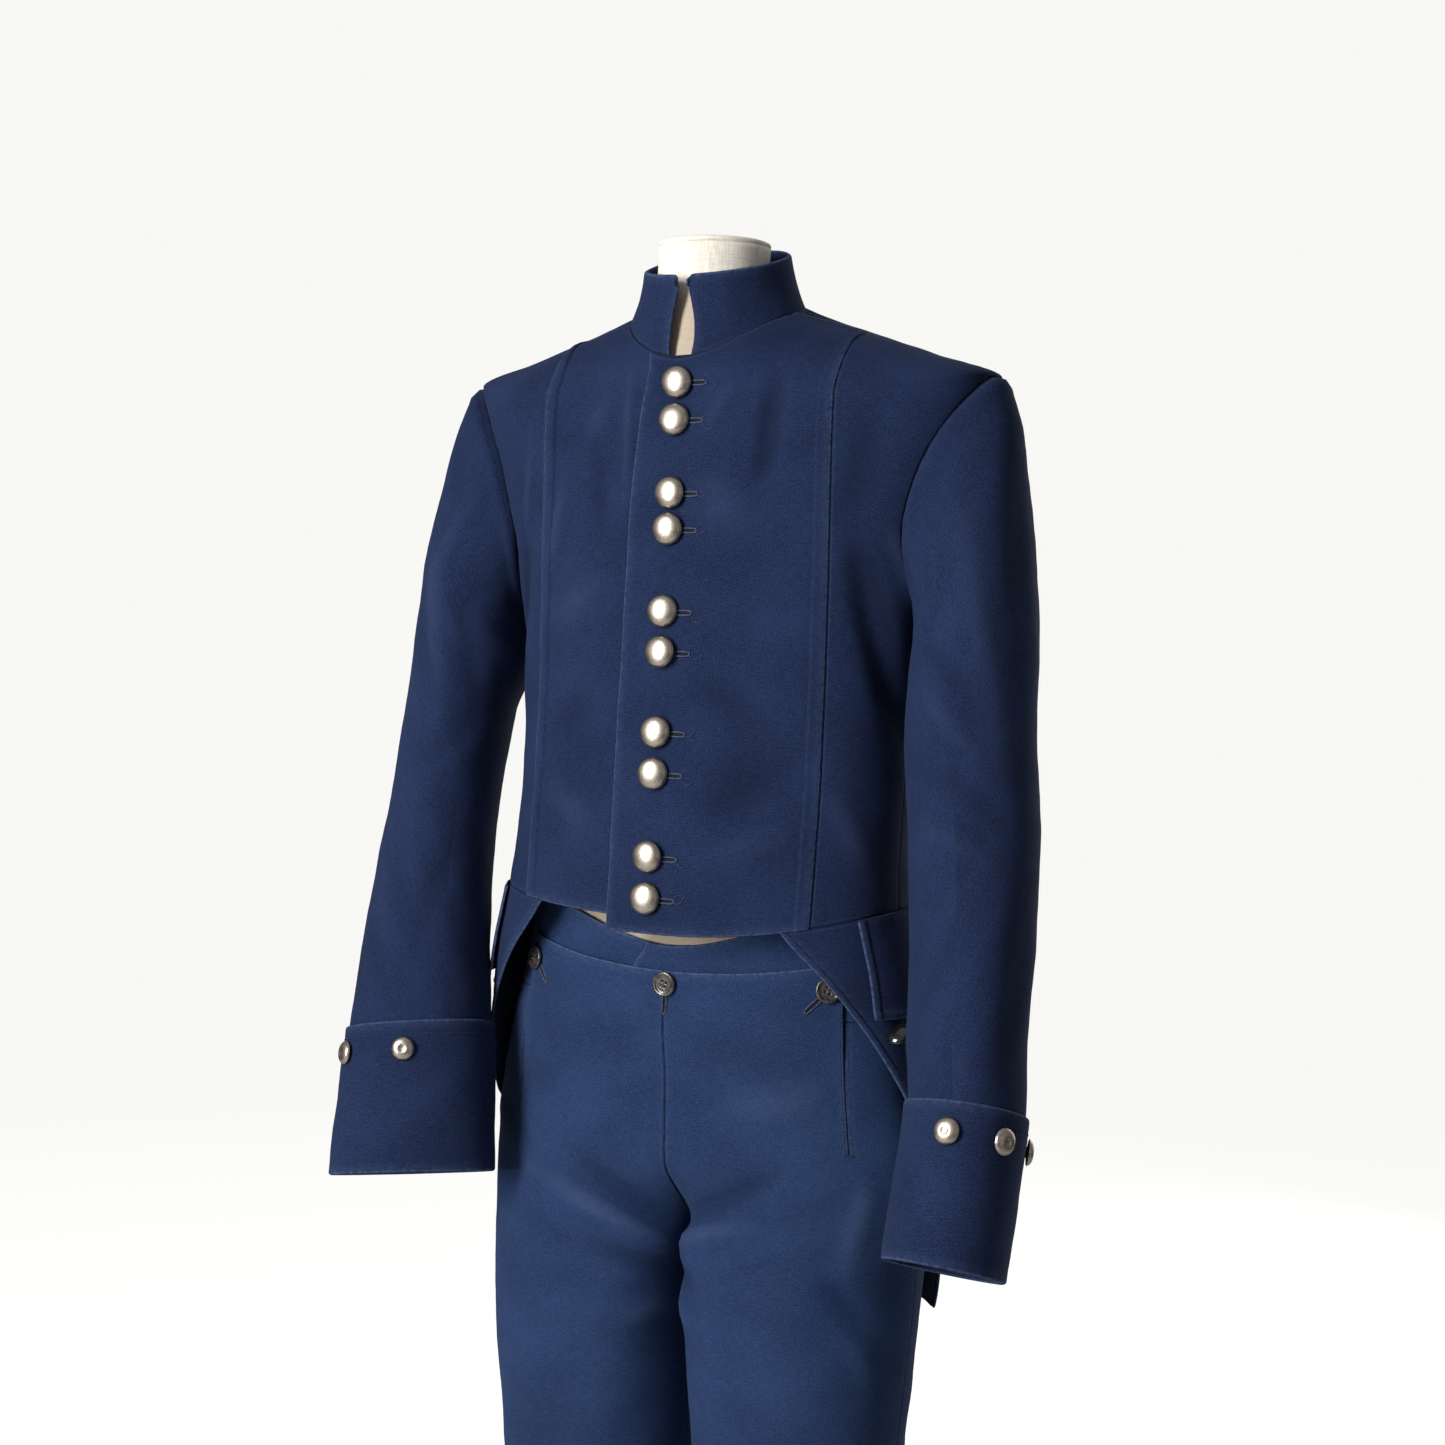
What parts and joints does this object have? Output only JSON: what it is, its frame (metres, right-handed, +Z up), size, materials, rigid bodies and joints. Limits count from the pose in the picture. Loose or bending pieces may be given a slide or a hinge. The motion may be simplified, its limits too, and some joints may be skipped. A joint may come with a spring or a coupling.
{
  "type": "stage costume on a dress form",
  "caption": "Navy stage costume with a short-tailed, pewter-buttoned coat and fall-front trousers, hung on a limbless calico dress form with a stand.",
  "frame": {"origin": "middle of the round base, on the floor", "axes": "+Z up along the form; the wearer faces -Y, so the wearer's left is +X"},
  "size_m": [0.6168, 0.4185, 1.5925],
  "materials": {
    "navy": "napped cotton twill with a slub",
    "metal": "brushed antique nickel",
    "horn": "polished dark horn",
    "calico": "plain-woven unbleached cloth",
    "stand": "satin dark paint"
  },
  "bodies": {
    "root": {"coat_front_left": "navy", "coat_front_right": "navy", "coat_side_left": "navy", "coat_side_right": "navy", "coat_back_left": "navy", "coat_back_right": "navy", "collar": "navy", "sleeve_left_upper": "navy", "sleeve_left_under": "navy", "sleeve_right_upper": "navy", "sleeve_right_under": "navy", "cuff_left": "navy", "cuff_right": "navy", "tail_left": "navy", "tail_right": "navy", "pocket_flap_left": "navy", "pocket_flap_right": "navy", "trouser_front_left": "navy", "trouser_front_right": "navy", "trouser_back_left": "navy", "trouser_back_right": "navy", "bearer_left": "navy", "bearer_right": "navy", "waistband_left": "navy", "waistband_right": "navy", "coat_button_01": "metal", "coat_button_02": "metal", "coat_button_03": "metal", "coat_button_04": "metal", "coat_button_05": "metal", "coat_button_06": "metal", "coat_button_07": "metal", "coat_button_08": "metal", "coat_button_09": "metal", "coat_button_10": "metal", "cuff_button_left_1": "metal", "cuff_button_left_2": "metal", "cuff_button_left_3": "metal", "cuff_button_right_1": "metal", "cuff_button_right_2": "metal", "cuff_button_right_3": "metal", "fall_button_left": "horn", "fall_button_middle": "horn", "fall_button_right": "horn", "pocket_button_left": "horn", "pocket_button_right": "horn", "form_torso": "calico", "form_neck_cap": "calico", "stand_pole": "stand", "stand_base": "stand"}
  },
  "joints": []
}
